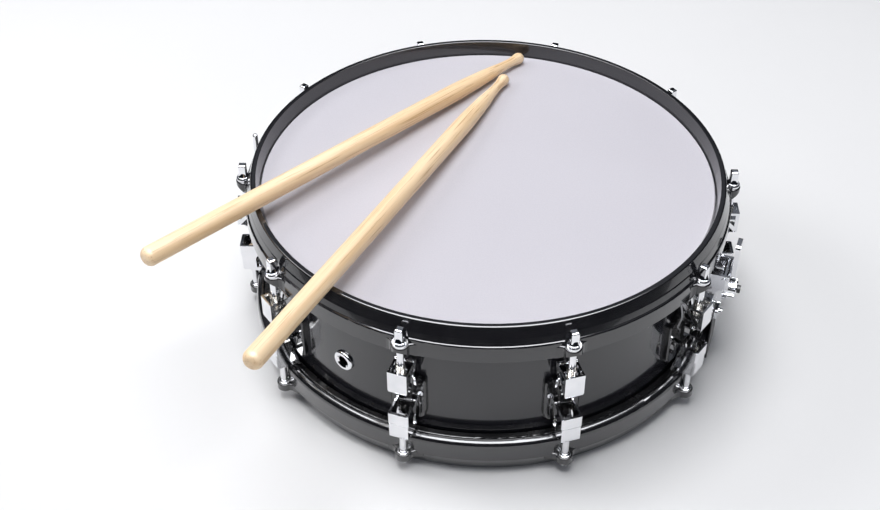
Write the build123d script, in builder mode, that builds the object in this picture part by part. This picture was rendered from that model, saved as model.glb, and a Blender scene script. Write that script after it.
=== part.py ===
from build123d import *
import math
import os

# Snare drum, 14 inch, with a pair of sticks.  Millimetres, +Z up.
# Z = 0 is the plane the lower rim stands on, the shell axis is X = Y = 0.
# One lug station is drawn on the +X side and repeated around the axis.

HEIGHT = 145.0
SHELL_R = 177.0
SHELL_WALL = 6.5
BATTER_Z = 133.0
SNARE_Z = HEIGHT - BATTER_Z
LUGS = 10
LUG_STEP = 360.0 / LUGS
ROD_R = 193.0
SHAFT_R = 2.8
BAND_R = 190.3
POCKET_R = 184.6
POCKET_Z = 127.2
BATTER_EAR_R = 6.8
SNARE_EAR_R = 6.4
BATTER_PAD_Z = 127.5
BATTER_BAND_Z = 116.2
SNARE_BAND_Z = 32.5
SNARE_PAD_Z = 16.8
SNARE_EAR_Z = 9.4
SNARE_SEAT_Z = 12.4
HOOK_FACE_R = 201.0
HOOK_HALF = 7.25
SHEET = 1.4
STRAINER_ANGLE = -18.0
BUTT_ANGLE = 162.0
VENT_ANGLE = -126.0
VENT_Z = 70.0
STRAP_R = 191.3
STRAP_HALF = 15.0
STRAP = 0.7
STICK_LENGTH = 406.0
STICK_R = 7.5
STICK_TIP_R = 5.0
RIM_REST_R = 182.5

os.makedirs("parts", exist_ok=True)


def box(x0, x1, y0, y1, z0, z1):
    """Block given by its six limits."""
    middle = Pos((x0 + x1) / 2, (y0 + y1) / 2, (z0 + z1) / 2)
    return middle * Box(x1 - x0, y1 - y0, z1 - z0)


def peg(x, y, z0, z1, radius):
    """Upright cylinder between two heights."""
    return Pos(x, y, (z0 + z1) / 2) * Cylinder(radius, z1 - z0)


def bar(x, z, half, radius):
    """Cylinder across the station, along Y."""
    return Pos(x, 0, z) * Rot(90, 0, 0) * Cylinder(radius, 2 * half)


def stub(x0, x1, y, z, radius):
    """Cylinder pointing away from the shell, along X."""
    return Pos((x0 + x1) / 2, y, z) * Rot(0, 90, 0) * Cylinder(radius, x1 - x0)


def outline(points, half, rounds=(), radius=1.0):
    """Plate with an X-Z outline, thick along Y, centred on Y = 0."""
    face = make_face(Polyline(*points, close=True).edges())
    near = []
    for x, z in rounds:
        near += [v for v in face.vertices() if abs(v.X - x) + abs(v.Y - z) < 0.01]
    if near:
        face = fillet(near, radius)
    return extrude(Plane.XZ * face, half, both=True)


def section(points, rounds=()):
    """Face in the X-Z plane with some of its corners rounded."""
    face = make_face(Polyline(*points, close=True).edges())
    for x, z, radius in rounds:
        face = fillet([v for v in face.vertices() if abs(v.X - x) + abs(v.Y - z) < 0.01], radius)
    return Plane.XZ * face


def mirrored(points):
    """Section of the lower side from the section of the upper side."""
    return [(r, HEIGHT - z) for r, z in points]


def finish(builder, name):
    builder.part.label = name
    export_step(builder.part, "parts/" + name + ".step")


# ------------------------------------------------------------- shell and heads

with BuildPart() as shell:
    with BuildSketch(Plane.XZ) as shell_wall:
        with BuildLine():
            Polyline(
                (SHELL_R, SNARE_Z + 2.1),
                (SHELL_R, BATTER_Z - 2.1),
                (SHELL_R - 2.0, BATTER_Z - 0.1),
                (SHELL_R - SHELL_WALL, BATTER_Z - 4.6),
                (SHELL_R - SHELL_WALL, SNARE_Z + 4.6),
                (SHELL_R - 2.0, SNARE_Z + 0.1),
                close=True,
            )
        make_face()
    revolve(axis=Axis.Z)
    with Locations(Rot(0, 0, VENT_ANGLE) * Pos(SHELL_R - 3, 0, VENT_Z)):
        Cylinder(5.6, 20, rotation=(0, 90, 0), mode=Mode.SUBTRACT)
finish(shell, "shell")

grommet = stub(SHELL_R - SHELL_WALL - 1.0, SHELL_R + 1.0, 0, VENT_Z, 5.6)
flange = stub(SHELL_R + 0.25, SHELL_R + 2.4, 0, VENT_Z, 8.6)
flange = fillet(flange.edges().group_by(Axis.X)[-1], 1.6)
grommet += flange
grommet -= stub(SHELL_R - 12.0, SHELL_R + 5.0, 0, VENT_Z, 4.2)
grommet -= Pos(SHELL_R + 2.0, 0, VENT_Z) * Rot(0, 90, 0) * Cone(4.0, 6.0, 1.6)
with BuildPart() as vent_grommet:
    add(Rot(0, 0, VENT_ANGLE) * grommet)
finish(vent_grommet, "vent_grommet")

# The film turns down over the bearing edge and ends in the ring that holds it.
film_section = [
    (0.0, BATTER_Z + 0.3),
    (SHELL_R - 0.2, BATTER_Z + 0.3),
    (SHELL_R + 0.7, BATTER_Z - 1.0),
    (SHELL_R + 0.7, 124.4),
    (SHELL_R + 1.4, 124.4),
    (SHELL_R + 1.4, 124.0),
    (SHELL_R + 0.3, 124.0),
    (SHELL_R + 0.3, BATTER_Z - 1.1),
    (SHELL_R - 0.4, BATTER_Z - 0.1),
    (0.0, BATTER_Z - 0.1),
]


def ring_section(low, high):
    """Section of a flesh hoop between two heights, with softened edges."""
    inner = SHELL_R + 1.4
    outer = POCKET_R - 0.9
    points = [(inner, low), (inner, high), (outer, high), (outer, low)]
    return section(points, [(inner, low, 0.7), (outer, low, 0.9)])


batter_ring = ring_section(BATTER_BAND_Z + 0.9, POCKET_Z)
snare_side_ring = mirror(ring_section(HEIGHT - SNARE_BAND_Z + 0.9, POCKET_Z), Plane.XY.offset(HEIGHT / 2))

with BuildPart() as batter_head:
    with BuildSketch(Plane.XZ):
        with BuildLine():
            Polyline(*film_section, close=True)
        make_face()
    revolve(axis=Axis.Z)
finish(batter_head, "batter_head")

with BuildPart() as snare_side_head:
    with BuildSketch(Plane.XZ):
        with BuildLine():
            Polyline(*mirrored(film_section), close=True)
        make_face()
    revolve(axis=Axis.Z)
finish(snare_side_head, "snare_side_head")

with BuildPart() as batter_flesh_hoop:
    revolve(batter_ring, axis=Axis.Z)
finish(batter_flesh_hoop, "batter_flesh_hoop")

with BuildPart() as snare_side_flesh_hoop:
    revolve(snare_side_ring, axis=Axis.Z)
finish(snare_side_flesh_hoop, "snare_side_flesh_hoop")

# ----------------------------------------------------------------------- hoops
# A wide band outside, a pocket for the flesh hoop, and a slim rim that leans
# outwards to a rounded crest.

rim_points = [
    (178.4, POCKET_Z),
    (178.4, 135.0),
    (180.6, HEIGHT),
    (184.4, HEIGHT),
]
batter_points = rim_points + [
    (187.0, 137.2),
    (187.5, 136.0),
    (188.9, 131.2),
    (BAND_R, 130.2),
    (BAND_R, BATTER_BAND_Z),
    (POCKET_R, BATTER_BAND_Z),
    (POCKET_R, POCKET_Z),
]
batter_rounds = [
    (180.6, HEIGHT, 0.7),
    (184.4, HEIGHT, 1.6),
    (187.0, 137.2, 1.0),
    (187.5, 136.0, 0.4),
    (188.9, 131.2, 0.7),
    (BAND_R, 130.2, 1.5),
    (BAND_R, BATTER_BAND_Z, 0.8),
    (178.4, 135.0, 2.0),
]
lower_points = mirrored(rim_points) + [
    (187.2, 7.0),
    (187.7, 9.2),
    (189.0, 13.4),
    (BAND_R, 14.2),
    (BAND_R, SNARE_BAND_Z),
    (POCKET_R, SNARE_BAND_Z),
    (POCKET_R, HEIGHT - POCKET_Z),
]
lower_rounds = [
    (180.6, 0.0, 0.7),
    (184.4, 0.0, 1.6),
    (187.2, 7.0, 1.0),
    (187.7, 9.2, 0.8),
    (BAND_R, 14.2, 0.6),
    (BAND_R, SNARE_BAND_Z, 5.0),
    (178.4, 10.0, 2.0),
]
batter_face = section(batter_points, batter_rounds)
lower_face = section(lower_points, lower_rounds)


def ear_outline(eye, reach):
    """Plan of one ear: a rod eye that flows into the band with hollow flanks."""
    root = 189.0
    tip = ROD_R - 0.6
    waist = tip - 1.8
    face = make_face(
        Polyline(
            (root - 3.0, -reach),
            (root - 3.0, reach),
            (root, reach),
            (waist, 0.62 * reach),
            (tip, eye * 0.98),
            (tip, -eye * 0.98),
            (waist, -0.62 * reach),
            (root, -reach),
            close=True,
        ).edges()
    )
    bends = [v for v in face.vertices() if abs(v.X - waist) < 0.01]
    face = fillet(bends, 4.0)
    return face + Pos(tip, 0) * Circle(eye)


batter_ear = ear_outline(BATTER_EAR_R, 15.0)
snare_side_ear = ear_outline(SNARE_EAR_R, 14.0)
# The underside of a batter ear rises towards its tip.
ear_relief = outline([(BAND_R, 110.0), (BAND_R, 116.6), (201.0, 125.4), (206.0, 110.0)], 22.0)
batter_ear_body = extrude(Plane.XY.offset(BATTER_BAND_Z) * batter_ear, BATTER_PAD_Z - BATTER_BAND_Z)
batter_ear_body = fillet(batter_ear_body.edges().group_by(Axis.Z)[-1], 1.3) - ear_relief
snare_side_ear_body = extrude(Plane.XY.offset(SNARE_EAR_Z) * snare_side_ear, SNARE_PAD_Z - SNARE_EAR_Z)
snare_side_ear_body = fillet(snare_side_ear_body.edges().group_by(Axis.Z)[-1], 1.1)
snare_side_ear_body = chamfer(snare_side_ear_body.edges().group_by(Axis.Z)[0], 1.0)
rod_groove = Pos(ROD_R, 0, 26.0) * Cylinder(3.6, 2 * (26.0 - SNARE_PAD_Z))

with BuildPart() as batter_hoop:
    revolve(batter_face, axis=Axis.Z)
    with PolarLocations(0, LUGS):
        add(batter_ear_body)
    with BuildSketch(Plane.XY.offset(BATTER_BAND_Z - 1)):
        with PolarLocations(ROD_R, LUGS):
            Circle(3.2)
    extrude(amount=20, mode=Mode.SUBTRACT)
    with BuildSketch(Plane.XY.offset(BATTER_PAD_Z)):
        with PolarLocations(ROD_R, LUGS):
            Circle(6.4)
    extrude(amount=12, mode=Mode.SUBTRACT)
finish(batter_hoop, "batter_hoop")

with BuildPart() as snare_side_hoop:
    revolve(lower_face, axis=Axis.Z)
    with PolarLocations(0, LUGS):
        add(snare_side_ear_body)
    with BuildSketch(Plane.XY.offset(SNARE_EAR_Z - 1)):
        with PolarLocations(ROD_R, LUGS):
            Circle(3.2)
    extrude(amount=10, mode=Mode.SUBTRACT)
    with PolarLocations(0, LUGS):
        add(rod_groove, mode=Mode.SUBTRACT)
    with BuildSketch(Plane.XY.offset(2.0)):
        with PolarLocations(ROD_R, LUGS):
            Circle(5.1)
    extrude(amount=SNARE_SEAT_Z - 2.0, mode=Mode.SUBTRACT)
    # Two gates let the snare straps out under the band.
    for angle in (STRAINER_ANGLE, BUTT_ANGLE):
        with Locations(Rot(0, 0, angle) * Pos(184, 0, 8.0)):
            Box(20, 2 * STRAP_HALF + 8, 9.0, mode=Mode.SUBTRACT)
finish(snare_side_hoop, "snare_side_hoop")

# ---------------------------------------------------------------- lug stations

base = box(175.0, 180.5, -13.5, 13.5, 42.5, 85.0)
base = fillet(base.edges().filter_by(Axis.X), 6.5)
base = chamfer(base.faces().sort_by(Axis.X)[-1].edges(), 1.0)
base += box(180.0, 187.0, -4.8, 4.8, 66.0, 84.9)
base += fillet(box(179.0, 189.6, -5.0, 5.0, 84.9, 90.0).edges().filter_by(Axis.X), 1.2)
base += fillet(box(179.0, 186.0, -5.0, 5.0, 57.0, 62.0).edges().filter_by(Axis.X), 1.2)
base -= Pos(0, 0, 70) * Cylinder(SHELL_R, 60)
for side in (-1, 1):
    base -= stub(179.6, 182.0, side * 9.8, 69.5, 2.6)

base_screws = stub(179.6, 181.3, 9.8, 69.5, 2.2)
base_screws += stub(179.6, 181.3, -9.8, 69.5, 2.2)
for side in (-1, 1):
    base_screws -= box(180.8, 182.0, side * 9.8 - 2.5, side * 9.8 + 2.5, 69.15, 69.85)

# Upper hook: the front plate turns in under the lip of the base.
inside = HOOK_FACE_R - SHEET
upper_hook = outline(
    [(187.4, 83.5), (HOOK_FACE_R, 83.5), (HOOK_FACE_R, 104.5), (187.4, 104.5)],
    HOOK_HALF, [(HOOK_FACE_R, 83.5)], 3.0,
)
upper_hook -= outline(
    [(180.0, 84.9), (inside, 84.9), (inside, 110.0), (180.0, 110.0)],
    HOOK_HALF + 1, [(inside, 84.9)], 1.8,
)
cheek = outline([(182.0, 104.5), (200.6, 104.5), (200.6, 88.0), (198.5, 86.0)], HOOK_HALF)
cheek -= outline([(187.5, 102.4), (198.2, 102.4), (198.2, 91.2)], HOOK_HALF + 1)
cheek -= box(170, 210, 1.0 - HOOK_HALF, HOOK_HALF - 1.0, 80, 110)
upper_hook += cheek
corner = box(195.0, 205.0, -12.0, 12.0, 80.0, 110.0)
corner -= fillet(box(194.0, 206.0, -HOOK_HALF, HOOK_HALF, 83.5, 115.0).edges().filter_by(Axis.X), 4.2)
upper_hook -= corner
upper_hook += bar(182.6, 103.4, HOOK_HALF, 1.1)
upper_hook += bar(184.9, 104.6, HOOK_HALF, 1.1)
upper_hook += box(186.5, 200.2, 0.5 - HOOK_HALF, HOOK_HALF - 0.5, 96.5, 98.0)
spring = section([(181.7, 79.6), (184.4, 91.5), (181.7, 103.4), (183.0, 104.2), (186.0, 91.5), (182.8, 78.8)],
                 [(184.4, 91.5, 14.0), (186.0, 91.5, 15.5)])
for side in (-1, 1):
    upper_hook += Pos(0, side * 6.25 + 1.0, 0) * extrude(spring, 2.0)
upper_hook -= peg(ROD_R, 0, 95.0, 99.0, 3.6)

upper_nut = peg(ROD_R, 0, 93.0, 96.5, 4.6)
upper_nut += peg(ROD_R, 0, 96.0, 99.0, 3.6)
upper_nut += Pos(ROD_R, 0, 102.25) * Cone(3.3, 3.9, 7.5)
upper_nut -= peg(ROD_R, 0, 90.0, 110.0, SHAFT_R + 0.05)

# Lower hook: an open box pulled down by the rod, hung on the ledge of the base.
lower_hook = outline(
    [(183.5, 37.0), (HOOK_FACE_R, 37.0), (HOOK_FACE_R, 63.5), (183.5, 63.5)],
    HOOK_HALF, [(HOOK_FACE_R, 37.0)], 3.5,
)
lower_hook -= outline(
    [(180.0, 38.4), (inside, 38.4), (inside, 70.0), (180.0, 70.0)],
    HOOK_HALF + 1, [(inside, 38.4)], 2.6,
)
cheek = outline(
    [(183.0, 37.0), (HOOK_FACE_R, 37.0), (HOOK_FACE_R, 63.5), (183.0, 63.5)],
    HOOK_HALF, [(HOOK_FACE_R, 37.0)], 3.5,
)
cheek -= bar(183.0, 47.5, HOOK_HALF + 1, 7.0)
cheek -= box(170, 190.0, -20, 20, 40.5, 47.5)
cheek -= box(170, 210, 1.0 - HOOK_HALF, HOOK_HALF - 1.0, 30, 70)
lower_hook += cheek
collar = box(187.0, HOOK_FACE_R + 0.8, -7.9, 7.9, 53.2, 63.5)
collar = fillet(collar.edges().filter_by(Axis.Z).sort_by(Axis.X)[2:], 1.5)
collar -= box(180.0, inside, 1.0 - HOOK_HALF, HOOK_HALF - 1.0, 50, 70)
lower_hook += collar
lower_hook -= box(HOOK_FACE_R - 0.2, HOOK_FACE_R + 1.0, -9.0, 9.0, 52.0, 53.3)
corner = box(195.0, 205.0, -12.0, 12.0, 33.0, 60.0)
corner -= fillet(box(194.0, 206.0, -HOOK_HALF - 1, HOOK_HALF + 1, 37.0, 75.0).edges().filter_by(Axis.X), 3.6)
lower_hook -= corner
lower_hook += bar(183.6, 63.1, HOOK_HALF, 1.1)
spring = section([(181.7, 36.0), (184.6, 49.5), (181.7, 63.1), (183.2, 63.6), (186.2, 49.5), (183.1, 35.4)],
                 [(184.6, 49.5, 16.0), (186.2, 49.5, 17.5)])
for side in (-1, 1):
    lower_hook += Pos(0, side * 6.25 + 1.0, 0) * extrude(spring, 2.0)
lower_hook += box(181.6, 184.2, -HOOK_HALF, HOOK_HALF, 37.0, 38.4)
lower_hook += box(182.2, 184.2, -HOOK_HALF, HOOK_HALF, 62.0, 64.0)
lower_hook += bar(182.2, 36.0, HOOK_HALF, 1.1)
lower_hook -= peg(ROD_R, 0, 30.0, 39.0, 3.2)

lower_nut = peg(ROD_R, 0, 38.4, 48.0, 3.9)
lower_nut += peg(ROD_R, 0, 48.0, 51.0, 3.4)
lower_nut -= peg(ROD_R, 0, 30.0, 60.0, SHAFT_R + 0.05)

washer = peg(ROD_R, 0, BATTER_PAD_Z, BATTER_PAD_Z + 1.5, 5.5)
washer -= peg(ROD_R, 0, 120.0, 135.0, SHAFT_R + 0.35)
lower_washer = peg(ROD_R, 0, SNARE_SEAT_Z - 1.2, SNARE_SEAT_Z, 4.8)
lower_washer -= peg(ROD_R, 0, 0.0, 20.0, SHAFT_R + 0.35)

with BuildPart() as lug_bases:
    with PolarLocations(0, LUGS):
        add(base)
finish(lug_bases, "lug_bases")

with BuildPart() as lug_screws:
    with PolarLocations(0, LUGS):
        add(base_screws)
finish(lug_screws, "lug_screws")

with BuildPart() as upper_hooks:
    with PolarLocations(0, LUGS):
        add(upper_hook)
finish(upper_hooks, "upper_hooks")

with BuildPart() as lower_hooks:
    with PolarLocations(0, LUGS):
        add(lower_hook)
finish(lower_hooks, "lower_hooks")

with BuildPart() as upper_swivel_nuts:
    with PolarLocations(0, LUGS):
        add(upper_nut)
finish(upper_swivel_nuts, "upper_swivel_nuts")

with BuildPart() as lower_swivel_nuts:
    with PolarLocations(0, LUGS):
        add(lower_nut)
finish(lower_swivel_nuts, "lower_swivel_nuts")

with BuildPart() as batter_washers:
    with PolarLocations(0, LUGS):
        add(washer)
finish(batter_washers, "batter_washers")

with BuildPart() as snare_side_washers:
    with PolarLocations(0, LUGS):
        add(lower_washer)
finish(snare_side_washers, "snare_side_washers")

# --------------------------------------------------------------- tension rods

upper_rod = peg(ROD_R, 0, 86.0, 130.0, SHAFT_R)
upper_rod += peg(ROD_R, 0, BATTER_PAD_Z + 1.8, BATTER_PAD_Z + 3.2, 4.6)
upper_rod += Pos(ROD_R, 0, 132.2) * Cone(4.4, 3.1, 3.4)
key = fillet(box(190.1, 195.9, -2.9, 2.9, 132.0, 141.6).edges().filter_by(Axis.Z), 0.7)
upper_rod += fillet(key.edges().group_by(Axis.Z)[-1], 1.3)

lower_rod = peg(ROD_R, 0, 8.8, 58.0, SHAFT_R)
lower_rod += peg(ROD_R, 0, 9.5, SNARE_SEAT_Z - 1.5, 4.4)
key = fillet(box(190.3, 195.7, -2.7, 2.7, 5.8, 9.6).edges().filter_by(Axis.Z), 0.7)
lower_rod += fillet(key.edges().group_by(Axis.Z)[0], 1.1)

for number in range(LUGS):
    with BuildPart() as batter_rod:
        add(Rot(0, 0, number * LUG_STEP) * upper_rod)
    finish(batter_rod, "batter_rod_" + str(number + 1).zfill(2))
    with BuildPart() as snare_side_rod:
        add(Rot(0, 0, number * LUG_STEP) * lower_rod)
    finish(snare_side_rod, "snare_side_rod_" + str(number + 1).zfill(2))

# ------------------------------------------- strainer, snares and butt, on +X

toward_strainer = Rot(0, 0, STRAINER_ANGLE)
toward_butt = Rot(0, 0, BUTT_ANGLE)

housing = fillet(box(174.0, 180.5, -16, 16, 45, 97).edges().filter_by(Axis.X), 3.0)
housing += fillet(box(180.0, 195.0, -9.5, 9.5, 64, 84).edges().filter_by(Axis.X), 2.0)
housing += box(180.0, 199.0, -13.0, -10.5, 83.0, 95.0)
housing += box(180.0, 199.0, 10.5, 13.0, 83.0, 95.0)
housing += box(180.0, 188.8, -15.0, 15.0, 46.0, 49.0)
housing += box(180.0, 188.8, -15.0, 15.0, 64.0, 68.0)
for side in (-1, 1):
    housing += peg(186.0, side * 13.0, 46.0, 67.0, 1.8)
housing -= stub(185.0, 196.0, 0, 75.0, 3.05)
housing -= bar(195.0, 91.0, 20.0, 2.05)
housing -= Pos(0, 0, 70) * Cylinder(SHELL_R, 80)
with BuildPart() as strainer_housing:
    add(toward_strainer * housing)
finish(strainer_housing, "strainer_housing")

plate_screws = stub(180.5, 182.4, 0, 92.0, 2.8) + stub(180.5, 182.4, 0, 55.0, 2.8)
with BuildPart() as strainer_screws:
    add(toward_strainer * plate_screws)
finish(strainer_screws, "strainer_screws")

# The lever turns on its own cross pin between the two cheeks of the housing.
arm = box(192.5, 197.5, -9.8, 9.8, 88.0, 94.0)
arm = fillet(arm.edges().filter_by(Axis.Y), 2.0)
arm += box(196.0, 200.5, -5.0, 5.0, 89.5, 92.5)
arm += fillet(box(199.0, 202.5, -7.0, 7.0, 89.5, 121.0).edges().filter_by(Axis.X), 3.0)
arm += bar(195.0, 91.0, 13.6, 2.0)
with BuildPart() as throw_off_lever:
    add(toward_strainer * arm)
finish(throw_off_lever, "throw_off_lever")

# The carriage runs on the two upright guide pins.
carriage = fillet(box(183.2, STRAP_R, -16.0, 16.0, 52.5, 61.0).edges().filter_by(Axis.Y), 1.0)
for side in (-1, 1):
    carriage -= peg(186.0, side * 13.0, 50.0, 64.0, 1.85)
carriage += box(STRAP_R + STRAP, STRAP_R + 3.2, -16.0, 16.0, 53.5, 60.0)
with BuildPart() as strainer_carriage:
    add(toward_strainer * carriage)
finish(strainer_carriage, "strainer_carriage")

clamp_screws = stub(STRAP_R + 3.2, STRAP_R + 6.0, -9.0, 56.8, 2.6)
clamp_screws += stub(STRAP_R + 3.2, STRAP_R + 6.0, 9.0, 56.8, 2.6)
with BuildPart() as carriage_screws:
    add(toward_strainer * clamp_screws)
finish(carriage_screws, "carriage_screws")

knob = stub(185.6, 197.0, 0, 75.0, 3.0)
knob += chamfer(stub(195.4, 205.0, 0, 75.0, 7.0).edges(), 0.7)
with BuildPart() as tension_knob:
    add(toward_strainer * knob)
finish(tension_knob, "tension_knob")
cap = stub(205.0, 207.5, 0, 75.0, 3.2)
with BuildPart() as tension_knob_cap:
    add(toward_strainer * cap)
finish(tension_knob_cap, "tension_knob_cap")


def strap(top):
    """Flat strap: out through the gate, then straight up outside the band."""
    low = box(160.0, STRAP_R + STRAP, -STRAP_HALF, STRAP_HALF, 9.0, 9.0 + STRAP)
    return low + box(STRAP_R, STRAP_R + STRAP, -STRAP_HALF, STRAP_HALF, 9.0, top)


strap_in = strap(61.0)
strap_out = strap(62.0)
with BuildPart() as strainer_strap:
    add(toward_strainer * strap_in)
finish(strainer_strap, "strainer_strap")
with BuildPart() as butt_strap:
    add(toward_butt * strap_out)
finish(butt_strap, "butt_strap")

end_plate = box(156.0, 172.0, -20.0, 20.0, 9.0 + STRAP, 10.4)
with BuildPart() as snare_end_plates:
    add(toward_strainer * end_plate)
    add(toward_butt * end_plate)
finish(snare_end_plates, "snare_end_plates")

with BuildPart() as snare_wires:
    with Locations(toward_strainer):
        with GridLocations(0, 1.9, 1, 20):
            with Locations((0, 0, 10.85)):
                Cylinder(0.45, 342, rotation=(0, 90, 0))
finish(snare_wires, "snare_wires")

butt = fillet(box(174.0, 180.5, -16, 16, 45, 97).edges().filter_by(Axis.X), 3.0)
butt += box(180.0, STRAP_R - 0.3, -17.5, 17.5, 52.0, 66.0)
butt += box(STRAP_R + STRAP + 0.3, 196.5, -17.5, 17.5, 52.0, 66.0)
for side in (-1, 1):
    butt += box(190.0, 193.5, side * 16.5 - 1.0, side * 16.5 + 1.0, 52.0, 66.0)
butt -= Pos(0, 0, 70) * Cylinder(SHELL_R, 80)
with BuildPart() as butt_housing:
    add(toward_butt * butt)
finish(butt_housing, "butt_housing")

butt_screw_set = stub(196.5, 199.5, -9.0, 59.0, 2.8) + stub(196.5, 199.5, 9.0, 59.0, 2.8)
butt_screw_set += stub(180.5, 182.4, 0, 48.6, 2.4)
butt_screw_set += stub(180.5, 182.4, 11.0, 92.0, 2.4) + stub(180.5, 182.4, -11.0, 92.0, 2.4)
with BuildPart() as butt_screws:
    add(toward_butt * butt_screw_set)
finish(butt_screws, "butt_screws")

guard = peg(202.6, 0, 70.0, 124.0, 2.2)
guard += stub(180.5, 202.6, 0, 72.0, 2.2) + stub(180.5, 202.6, 0, 92.0, 2.2)
guard += Pos(202.6, 0, 124.0) * Sphere(2.2) + Pos(202.6, 0, 70.0) * Sphere(2.2)
with BuildPart() as butt_guard_bar:
    add(toward_butt * guard)
finish(butt_guard_bar, "butt_guard_bar")

# -------------------------------------------------------------------- sticks
# Drawn tip down at the origin, then laid over the rim with the tip on the head.

stick_profile = [
    (STICK_TIP_R - 0.9, 2.0),
    (STICK_TIP_R, 5.5),
    (STICK_TIP_R - 0.4, 8.5),
    (4.1, 12.5),
    (3.9, 16.0),
    (5.2, 38.0),
    (6.6, 62.0),
    (STICK_R, 88.0),
]


def lay_stick(tip_x, tip_y, toward_x, toward_y):
    """One stick from its tip towards a plan direction, resting on the rim."""
    heading = math.atan2(toward_y - tip_y, toward_x - tip_x)
    along = math.cos(heading) * tip_x + math.sin(heading) * tip_y
    square = RIM_REST_R ** 2 - tip_x ** 2 - tip_y ** 2
    to_rim = math.sqrt(along ** 2 + square) - along
    low = BATTER_Z + 0.3 + STICK_TIP_R + 0.3
    high = HEIGHT + STICK_R + 0.3
    pitch = math.degrees(math.atan2(high - low, to_rim))
    with BuildPart() as body:
        with BuildSketch(Plane.XZ):
            with BuildLine():
                Polyline((0, 0), (2.6, 0.3), stick_profile[0])
                Spline(*stick_profile)
                Polyline(stick_profile[-1], (STICK_R, STICK_LENGTH - 4.5))
                Spline(
                    (STICK_R, STICK_LENGTH - 4.5),
                    (5.6, STICK_LENGTH - 1.0),
                    (0, STICK_LENGTH),
                )
                Line((0, STICK_LENGTH), (0, 0))
            make_face()
        revolve(axis=Axis.Z)
    start = Pos(tip_x, tip_y, low) * Rot(0, 0, math.degrees(heading))
    return start * Rot(0, 90 - pitch, 0) * body.part


left_body = lay_stick(30.0, 167.0, -239.9, -132.0)
right_body = lay_stick(15.5, 133.5, -152.4, -232.9)
with BuildPart() as stick_left:
    add(left_body)
finish(stick_left, "stick_left")
with BuildPart() as stick_right:
    add(right_body)
finish(stick_right, "stick_right")
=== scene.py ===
import math

import bpy
from mathutils import Matrix, Vector


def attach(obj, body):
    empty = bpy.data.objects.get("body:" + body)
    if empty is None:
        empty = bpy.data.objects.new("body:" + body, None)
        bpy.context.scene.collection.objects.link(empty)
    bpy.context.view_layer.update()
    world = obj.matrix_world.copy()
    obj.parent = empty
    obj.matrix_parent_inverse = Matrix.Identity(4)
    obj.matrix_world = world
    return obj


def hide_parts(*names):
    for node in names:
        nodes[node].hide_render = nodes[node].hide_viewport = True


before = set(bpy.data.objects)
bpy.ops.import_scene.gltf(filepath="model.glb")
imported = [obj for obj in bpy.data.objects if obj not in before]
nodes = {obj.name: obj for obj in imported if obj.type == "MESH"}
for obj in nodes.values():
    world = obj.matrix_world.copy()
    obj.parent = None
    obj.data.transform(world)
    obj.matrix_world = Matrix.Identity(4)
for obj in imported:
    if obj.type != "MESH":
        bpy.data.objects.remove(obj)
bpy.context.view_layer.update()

# ------------------------------------------------------------------ shader help


class Shader:
    """A material with one Principled shader and short calls for its nodes."""

    def __init__(self, name):
        self.material = bpy.data.materials.new(name)
        self.material.use_nodes = True
        self.tree = self.material.node_tree
        self.body = self.tree.nodes["Principled BSDF"]
        self.place = self.add("ShaderNodeTexCoord").outputs["Object"]

    def add(self, kind, **settings):
        node = self.tree.nodes.new(kind)
        for key, value in settings.items():
            setattr(node, key, value)
        return node

    def wire(self, source, target):
        self.tree.links.new(source, target)
        return target

    def put(self, **values):
        for key, value in values.items():
            self.body.inputs[key.replace("_", " ")].default_value = value
        return self

    def noise(self, scale, detail=4.0, rough=0.5, vector=None):
        node = self.add("ShaderNodeTexNoise")
        node.inputs["Scale"].default_value = scale
        node.inputs["Detail"].default_value = detail
        node.inputs["Roughness"].default_value = rough
        self.wire(vector or self.place, node.inputs["Vector"])
        return node.outputs["Fac"]

    def turned(self, rotation, scale):
        node = self.add("ShaderNodeMapping")
        node.inputs["Rotation"].default_value = rotation
        second = self.add("ShaderNodeMapping")
        second.inputs["Scale"].default_value = scale
        self.wire(self.place, node.inputs["Vector"])
        self.wire(node.outputs["Vector"], second.inputs["Vector"])
        return second.outputs["Vector"]

    def ramp(self, factor, stops):
        node = self.add("ShaderNodeValToRGB")
        band = node.color_ramp
        while len(band.elements) < len(stops):
            band.elements.new(0.5)
        for element, (at, colour) in zip(band.elements, stops):
            element.position = at
            element.color = tuple(colour) + (1.0,)
        self.wire(factor, node.inputs["Fac"])
        return node.outputs["Color"]

    def span(self, factor, low, high, start=0.3, end=0.7):
        node = self.add("ShaderNodeMapRange")
        node.inputs["From Min"].default_value = start
        node.inputs["From Max"].default_value = end
        node.inputs["To Min"].default_value = low
        node.inputs["To Max"].default_value = high
        self.wire(factor, node.inputs["Value"])
        return node.outputs["Result"]

    def blend(self, factor, first, second, mode="MIX"):
        node = self.add("ShaderNodeMix", data_type="RGBA", blend_type=mode)
        ends = [s for s in node.inputs if s.type == "RGBA"]
        for socket, value in zip(ends, (first, second)):
            if isinstance(value, tuple):
                socket.default_value = value + (1.0,)
            else:
                self.wire(value, socket)
        if isinstance(factor, float):
            node.inputs[0].default_value = factor
        else:
            self.wire(factor, node.inputs[0])
        return [s for s in node.outputs if s.type == "RGBA"][0]

    def colour(self, source):
        self.wire(source, self.body.inputs["Base Color"])
        return self

    def roughness(self, source):
        self.wire(source, self.body.inputs["Roughness"])
        return self

    def bump(self, height, strength, depth):
        node = self.add("ShaderNodeBump")
        node.inputs["Strength"].default_value = strength
        node.inputs["Distance"].default_value = depth
        self.wire(height, node.inputs["Height"])
        self.wire(node.outputs["Normal"], self.body.inputs["Normal"])
        return self


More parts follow.
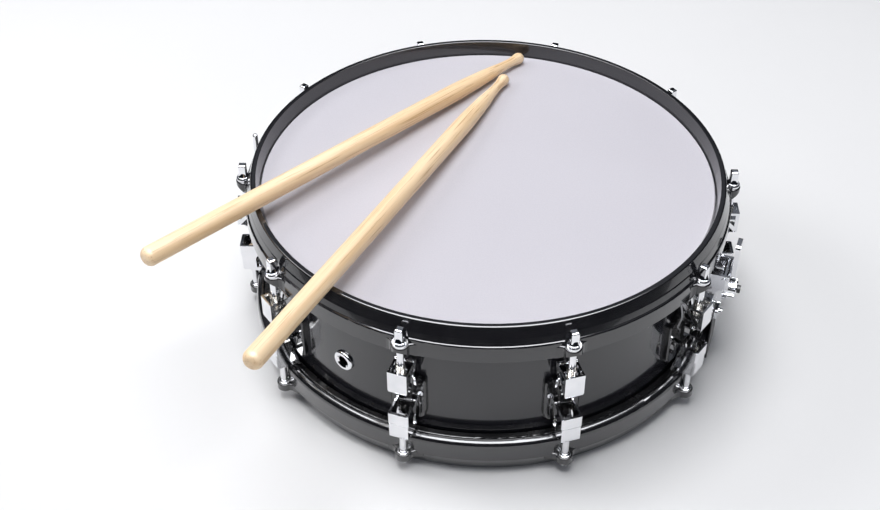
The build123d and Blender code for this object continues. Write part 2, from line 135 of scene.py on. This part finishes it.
def lacquer(name, dark, light, rough, coat=0.6, coat_rough=0.03):
    """Sprayed black lacquer: deep colour, slight ripple, a few polishing marks."""
    s = Shader(name).put(Specular_IOR_Level=0.6, Coat_Weight=coat, Coat_Roughness=coat_rough)
    s.colour(s.ramp(s.noise(9.0, 6.0), [(0.3, dark), (0.75, light)]))
    s.roughness(s.span(s.noise(60.0, 5.0), rough * 0.8, rough * 1.5))
    s.bump(s.noise(220.0, 2.0), 0.05, 0.0002)
    return s.material


def metal(name, low, high, rough, grain=90.0):
    """Plated metal with faint haze and handling marks."""
    s = Shader(name).put(Metallic=1.0)
    s.colour(s.ramp(s.noise(grain, 5.0), [(0.25, low), (0.7, high)]))
    s.roughness(s.span(s.noise(grain * 2.5, 6.0), rough * 0.7, rough * 1.6))
    s.bump(s.noise(grain * 6.0, 3.0), 0.04, 0.0001)
    return s.material


def coated_head():
    s = Shader("coated_head").put(Specular_IOR_Level=0.25, Sheen_Weight=0.05)
    broad = s.ramp(s.noise(5.0, 3.0), [(0.3, (0.505, 0.49, 0.535)), (0.7, (0.535, 0.52, 0.565))])
    specks = s.ramp(s.noise(900.0, 2.0, 0.7), [(0.25, (0.93, 0.93, 0.94)), (0.6, (1.0, 1.0, 1.0))])
    s.colour(s.blend(1.0, broad, specks, "MULTIPLY"))
    s.roughness(s.span(s.noise(300.0, 4.0), 0.5, 0.75))
    s.bump(s.noise(1500.0, 3.0, 0.7), 0.25, 0.0002)
    return s.material


def clear_head():
    s = Shader("clear_head").put(Specular_IOR_Level=0.5)
    s.colour(s.ramp(s.noise(7.0, 3.0), [(0.3, (0.60, 0.61, 0.63)), (0.7, (0.68, 0.69, 0.71))]))
    s.roughness(s.span(s.noise(40.0, 4.0), 0.12, 0.3))
    s.bump(s.noise(60.0, 3.0), 0.05, 0.0002)
    return s.material


def wood(name, start, end):
    """Straight-grained hickory along the line from start to end."""
    along = (Vector(end) - Vector(start)).normalized()
    rotation = along.rotation_difference(Vector((0, 0, 1))).to_euler()
    s = Shader(name).put(Specular_IOR_Level=0.4, Coat_Weight=0.15, Coat_Roughness=0.25)
    fine = s.noise(1.0, 6.0, 0.65, s.turned(rotation, (700.0, 700.0, 14.0)))
    bands = s.noise(1.0, 3.0, 0.5, s.turned(rotation, (170.0, 170.0, 5.0)))
    broad = s.noise(1.0, 2.0, 0.5, s.turned(rotation, (40.0, 40.0, 6.0)))
    base = s.ramp(bands, [(0.3, (0.86, 0.61, 0.36)), (0.5, (0.93, 0.70, 0.45)), (0.7, (0.97, 0.77, 0.53))])
    pores = s.ramp(fine, [(0.32, (0.66, 0.56, 0.46)), (0.46, (1.0, 1.0, 1.0))])
    tone = s.ramp(broad, [(0.3, (0.90, 0.86, 0.80)), (0.7, (1.0, 1.0, 1.0))])
    s.colour(s.blend(1.0, s.blend(1.0, base, pores, "MULTIPLY"), tone, "MULTIPLY"))
    s.roughness(s.span(bands, 0.38, 0.55))
    s.bump(fine, 0.15, 0.0003)
    return s.material


def plastic(name, low, high):
    s = Shader(name)
    s.colour(s.ramp(s.noise(120.0), [(0.3, low), (0.7, high)]))
    s.roughness(s.span(s.noise(400.0), 0.3, 0.5))
    s.bump(s.noise(900.0), 0.15, 0.0002)
    return s.material


def webbing():
    s = Shader("webbing").put(Sheen_Weight=0.3)
    weave = s.add("ShaderNodeTexWave", wave_type="BANDS", bands_direction="DIAGONAL")
    weave.inputs["Scale"].default_value = 500.0
    weave.inputs["Distortion"].default_value = 0.6
    s.wire(s.place, weave.inputs["Vector"])
    s.colour(s.ramp(weave.outputs["Fac"], [(0.2, (0.02, 0.02, 0.022)), (0.8, (0.07, 0.07, 0.075))]))
    s.roughness(s.span(s.noise(300.0), 0.7, 0.9))
    s.bump(weave.outputs["Fac"], 0.5, 0.0003)
    return s.material


def paint(node, material):
    """Gives one CAD node its finished material."""
    mesh = nodes[node].data
    if not mesh.materials:
        mesh.materials.append(material)
    for index in range(len(mesh.materials)):
        mesh.materials[index] = material


shell_black = lacquer("shell_black", (0.010, 0.010, 0.013), (0.015, 0.015, 0.019), 0.10, coat=0.3)
hoop_black = lacquer("hoop_black", (0.010, 0.010, 0.012), (0.016, 0.016, 0.019), 0.12)
lower_hoop_black = lacquer(
    "lower_hoop_black", (0.010, 0.010, 0.012), (0.016, 0.016, 0.019), 0.15, coat=1.0, coat_rough=0.15
)
lug_black = lacquer("lug_black", (0.008, 0.008, 0.009), (0.014, 0.014, 0.015), 0.10)
chrome = metal("chrome", (0.78, 0.79, 0.81), (0.88, 0.88, 0.90), 0.07)
steel = metal("steel", (0.62, 0.62, 0.64), (0.74, 0.74, 0.76), 0.22)
ring_black = lacquer("ring_black", (0.006, 0.006, 0.007), (0.010, 0.010, 0.011), 0.22)
brass = metal("brass", (0.74, 0.64, 0.42), (0.86, 0.77, 0.56), 0.22)
nickel = metal("nickel", (0.78, 0.75, 0.68), (0.90, 0.87, 0.80), 0.18)
knob_tip = plastic("knob_tip", (0.015, 0.015, 0.016), (0.03, 0.03, 0.032))
strap_cloth = webbing()

# Tip and plan direction of each stick in millimetres, for the run of its grain.
GRAIN_LOW = 138.6
GRAIN_HIGH = 161.0
left_grain = ((30.0, 167.0, GRAIN_LOW), (-239.9, -132.0, GRAIN_HIGH))
right_grain = ((15.5, 133.5, GRAIN_LOW), (-152.4, -232.9, GRAIN_HIGH))

looks = {
    "shell": shell_black,
    "batter_hoop": hoop_black,
    "snare_side_hoop": lower_hoop_black,
    "batter_head": coated_head(),
    "snare_side_head": clear_head(),
    "batter_flesh_hoop": ring_black,
    "snare_side_flesh_hoop": ring_black,
    "lug_bases": lug_black,
    "upper_swivel_nuts": nickel,
    "lower_swivel_nuts": nickel,
    "snare_end_plates": brass,
    "snare_wires": steel,
    "tension_knob_cap": knob_tip,
    "strainer_strap": strap_cloth,
    "butt_strap": strap_cloth,
    "stick_left": wood("hickory_left", *left_grain),
    "stick_right": wood("hickory_right", *right_grain),
}
for name in nodes:
    paint(name, looks.get(name, chrome))

# ---------------------------------------------------------- softened CAD edges


WELD_GAP = 0.000002
EDGE_FINE = 0.00028
EDGE_CARRIAGE = 0.0003
EDGE_LEVER = 0.0004


def soften(node, width, angle=35.0):
    """Rounds the sharp edges of a CAD node with modifiers and keeps flats flat."""
    piece = nodes[node]
    weld = piece.modifiers.new("weld", "WELD")
    weld.merge_threshold = WELD_GAP
    bevel = piece.modifiers.new("round", "BEVEL")
    bevel.width = width
    bevel.segments = 2
    bevel.limit_method = "ANGLE"
    bevel.angle_limit = math.radians(angle)
    bevel.harden_normals = False
    even = piece.modifiers.new("even", "WEIGHTED_NORMAL")
    even.weight = 80


for name in ("upper_hooks", "lower_hooks", "lug_bases", "strainer_housing", "butt_housing"):
    soften(name, EDGE_FINE)
soften("throw_off_lever", EDGE_LEVER)
soften("strainer_carriage", EDGE_CARRIAGE)

# ------------------------------------------------------------ small added pieces

LUGS = 10
ROD_R = 0.193
STRAINER_TURN = math.radians(-18.0)


def lathe(profile, sides):
    """Vertices and faces of a closed profile (radius, height) turned about Z."""
    points, faces = [], []
    count = len(profile)
    for k in range(sides):
        a = 2 * math.pi * k / sides
        points += [(r * math.cos(a), r * math.sin(a), z) for r, z in profile]
    for k in range(sides):
        for j in range(count):
            n = (j + 1) % count
            m = (k + 1) % sides
            faces.append((k * count + j, m * count + j, m * count + n, k * count + n))
    return points, faces


def collect(name, parts, material, body, smooth=True):
    """One mesh object from several (matrix, points, faces) parts."""
    points, faces = [], []
    for matrix, part_points, part_faces in parts:
        start = len(points)
        points += [tuple(matrix @ Vector(p)) for p in part_points]
        faces += [tuple(start + i for i in f) for f in part_faces]
    mesh = bpy.data.meshes.new(name)
    mesh.from_pydata(points, [], faces)
    mesh.update()
    for polygon in mesh.polygons:
        polygon.use_smooth = smooth
    mesh.materials.append(material)
    piece = bpy.data.objects.new(name, mesh)
    bpy.context.scene.collection.objects.link(piece)
    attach(piece, body)
    return piece


def station(index):
    return Matrix.Rotation(2 * math.pi * index / LUGS, 4, "Z") @ Matrix.Translation((ROD_R, 0, 0))


# Bright eyelets in the lower ears, around each rod.
EYELET_Z = 0.0168
eyelet = lathe(
    [
        (0.0031, EYELET_Z - 0.0002),
        (0.0031, EYELET_Z + 0.0004),
        (0.0034, EYELET_Z + 0.0007),
        (0.0041, EYELET_Z + 0.0007),
        (0.0046, EYELET_Z + 0.0003),
        (0.0046, EYELET_Z - 0.0002),
    ],
    40,
)
collect("ear_eyelets", [(station(k),) + eyelet for k in range(LUGS)], chrome, "drum")

# Ridges around the tension knob.
KNOB_AT = (0.2002, 0.0, 0.075)
KNOB_R = 0.007
RIDGES = 30
knob_frame = Matrix.Rotation(STRAINER_TURN, 4, "Z") @ Matrix.Translation(KNOB_AT)
knob_frame = knob_frame @ Matrix.Rotation(math.pi / 2, 4, "Y")
RIDGE_HALF = 0.0036
RIDGE_FOOT = (KNOB_R - 0.0003, 0.00045)
RIDGE_CREST = (KNOB_R + 0.0004, 0.00012)
ridge_points = []
for along in (-RIDGE_HALF, RIDGE_HALF):
    ridge_points += [
        (RIDGE_FOOT[0], -RIDGE_FOOT[1], along),
        (RIDGE_FOOT[0], RIDGE_FOOT[1], along),
        (RIDGE_CREST[0], RIDGE_CREST[1], along),
        (RIDGE_CREST[0], -RIDGE_CREST[1], along),
    ]
ridge_faces = [(0, 1, 2, 3), (7, 6, 5, 4), (0, 4, 5, 1), (1, 5, 6, 2), (2, 6, 7, 3), (3, 7, 4, 0)]
ridges = []
for k in range(RIDGES):
    spin = Matrix.Rotation(2 * math.pi * k / RIDGES, 4, "Z")
    ridges.append((knob_frame @ spin, ridge_points, ridge_faces))
collect("knob_ridges", ridges, chrome, "tension_knob", smooth=False)

# Coiled snare wires in place of the plain CAD rods.
WIRES = 20
WIRE_GAP = 0.0019
WIRE_Z = 0.01085
WIRE_HALF = 0.171
COIL_R = 0.00031
STRAND_R = 0.00013
COIL_PITCH = 0.003
STEPS_A_TURN = 9
SIDES = 4
coil_points, coil_faces = [], []
steps = int(2 * WIRE_HALF / COIL_PITCH * STEPS_A_TURN)
for w in range(WIRES):
    middle = (w - (WIRES - 1) / 2) * WIRE_GAP
    first = len(coil_points)
    for k in range(steps + 1):
        a = 2 * math.pi * k / STEPS_A_TURN
        x = -WIRE_HALF + COIL_PITCH * k / STEPS_A_TURN
        out = Vector((0.0, math.cos(a), math.sin(a)))
        run = Vector((COIL_PITCH / (2 * math.pi), -COIL_R * math.sin(a), COIL_R * math.cos(a)))
        across = run.normalized().cross(out)
        centre = Vector((x, middle, WIRE_Z)) + COIL_R * out
        for j in range(SIDES):
            b = 2 * math.pi * j / SIDES
            coil_points.append(tuple(centre + STRAND_R * (math.cos(b) * out + math.sin(b) * across)))
    for k in range(steps):
        for j in range(SIDES):
            n = (j + 1) % SIDES
            low = first + k * SIDES
            coil_faces.append((low + j, low + n, low + SIDES + n, low + SIDES + j))
    coil_faces.append(tuple(first + j for j in reversed(range(SIDES))))
    last = first + steps * SIDES
    coil_faces.append(tuple(last + j for j in range(SIDES)))
snare_turn = Matrix.Rotation(STRAINER_TURN, 4, "Z")
coils = collect("snare_coils", [(snare_turn, coil_points, coil_faces)], steel, "snares")
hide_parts("snare_wires")

# ------------------------------------------------------------- floor and light

FLOOR_SIZE = 12.0
FLOOR_Z = -0.0004
bpy.ops.mesh.primitive_plane_add(size=FLOOR_SIZE, location=(0, 0, FLOOR_Z))
floor = bpy.context.object
floor.name = "floor"
pale = Shader("floor_pale").put(Roughness=0.9, Specular_IOR_Level=0.1)
pale.colour(pale.ramp(pale.noise(2.0), [(0.3, (0.80, 0.80, 0.81)), (0.7, (0.83, 0.83, 0.84))]))
floor.data.materials.append(pale.material)


def softbox(name, at, aim, width, height, power):
    lamp = bpy.data.lights.new(name, "AREA")
    lamp.shape = "RECTANGLE"
    lamp.size = width
    lamp.size_y = height
    lamp.energy = power
    holder = bpy.data.objects.new(name, lamp)
    bpy.context.scene.collection.objects.link(holder)
    holder.location = at
    holder.rotation_euler = (Vector(aim) - Vector(at)).to_track_quat("-Z", "Y").to_euler()


def glossy_only(piece):
    """Hides a stage piece from everything except glossy rays."""
    piece.visible_camera = False
    piece.visible_diffuse = False
    piece.visible_transmission = False
    piece.visible_volume_scatter = False
    piece.visible_shadow = False


softbox("overhead_box", (-0.2, -0.1, 2.2), (0, 0, 0), 1.7, 0.9, 46.0)
softbox("left_box", (-2.0, 0.5, 1.7), (0, 0, 0.1), 1.0, 1.0, 20.0)

# A low black curtain around the set, seen only by glossy rays: it keeps the
# sloping lacquer dark, as in a studio with unlit walls.
curtain_mesh = bpy.data.meshes.new("dark_curtain")
CURTAIN_R = 0.66
CURTAIN_TOP = 0.55
CURTAIN_SIDES = 64
ring = [2 * math.pi * k / CURTAIN_SIDES for k in range(CURTAIN_SIDES)]
around = [(CURTAIN_R * math.cos(a), CURTAIN_R * math.sin(a)) for a in ring]
hem = [(x, y, 0.0) for x, y in around]
top = [(x, y, CURTAIN_TOP) for x, y in around]
walls = []
for k in range(CURTAIN_SIDES):
    after = (k + 1) % CURTAIN_SIDES
    walls.append((k, after, after + CURTAIN_SIDES, k + CURTAIN_SIDES))
curtain_mesh.from_pydata(hem + top, [], walls)
curtain = bpy.data.objects.new("dark_curtain", curtain_mesh)
bpy.context.scene.collection.objects.link(curtain)
cloth = Shader("curtain_black").put(Roughness=1.0, Specular_IOR_Level=0.0)
cloth.colour(cloth.ramp(cloth.noise(8.0), [(0.3, (0.004, 0.005, 0.007)), (0.7, (0.008, 0.010, 0.013))]))
curtain_mesh.materials.append(cloth.material)
glossy_only(curtain)

# A large bright card high over the set, seen only by glossy rays: it draws the
# broad light band on the rounded shoulder of the lower hoop.
CARD_AT = (-0.1, -0.45, 2.0)
CARD_SIZE = (2.4, 2.2, 1.0)
CARD_GLOW = 12.0
bpy.ops.mesh.primitive_plane_add(size=1.0, location=CARD_AT)
card = bpy.context.object
card.name = "bright_card"
card.scale = CARD_SIZE
glow = Shader("card_glow").put(Base_Color=(0.0, 0.0, 0.0, 1.0), Emission_Strength=CARD_GLOW)
glow.wire(
    glow.ramp(glow.noise(1.5), [(0.3, (0.93, 0.94, 1.0)), (0.7, (0.97, 0.98, 1.0))]),
    glow.body.inputs["Emission Color"],
)
card.data.materials.append(glow.material)
glossy_only(card)

world = bpy.data.worlds.new("studio")
bpy.context.scene.world = world
world.use_nodes = True
air = world.node_tree
back = air.nodes["Background"]
rise = air.nodes.new("ShaderNodeTexCoord")
split = air.nodes.new("ShaderNodeSeparateXYZ")
fade = air.nodes.new("ShaderNodeValToRGB")
air.links.new(rise.outputs["Generated"], split.inputs["Vector"])
air.links.new(split.outputs["Z"], fade.inputs["Fac"])
fade.color_ramp.elements[0].position = 0.0
fade.color_ramp.elements[0].color = (0.80, 0.80, 0.82, 1.0)
fade.color_ramp.elements[1].position = 0.30
fade.color_ramp.elements[1].color = (0.17, 0.18, 0.20, 1.0)
air.links.new(fade.outputs["Color"], back.inputs["Color"])
back.inputs["Strength"].default_value = 0.9

# ---------------------------------------------------------------------- camera

# The view of the photograph.
FOCAL_MM = 54.58
eye = Vector((-0.01039, -0.83864, 0.76994))
forward = Vector((-0.0246, 0.7588, -0.6509)).normalized()
upward = Vector((-0.0150, 0.6502, 0.7596))
side = forward.cross(upward).normalized()
upward = side.cross(forward).normalized()
lens = bpy.data.cameras.new("camera")
lens.sensor_fit = "HORIZONTAL"
lens.sensor_width = 36.0
lens.lens = FOCAL_MM
lens.clip_start = 0.01
viewer = bpy.data.objects.new("camera", lens)
bpy.context.scene.collection.objects.link(viewer)
turn = Matrix((side, upward, -forward)).transposed().to_4x4()
viewer.matrix_world = Matrix.Translation(eye) @ turn
bpy.context.scene.camera = viewer

bpy.context.scene.view_settings.view_transform = "Standard"
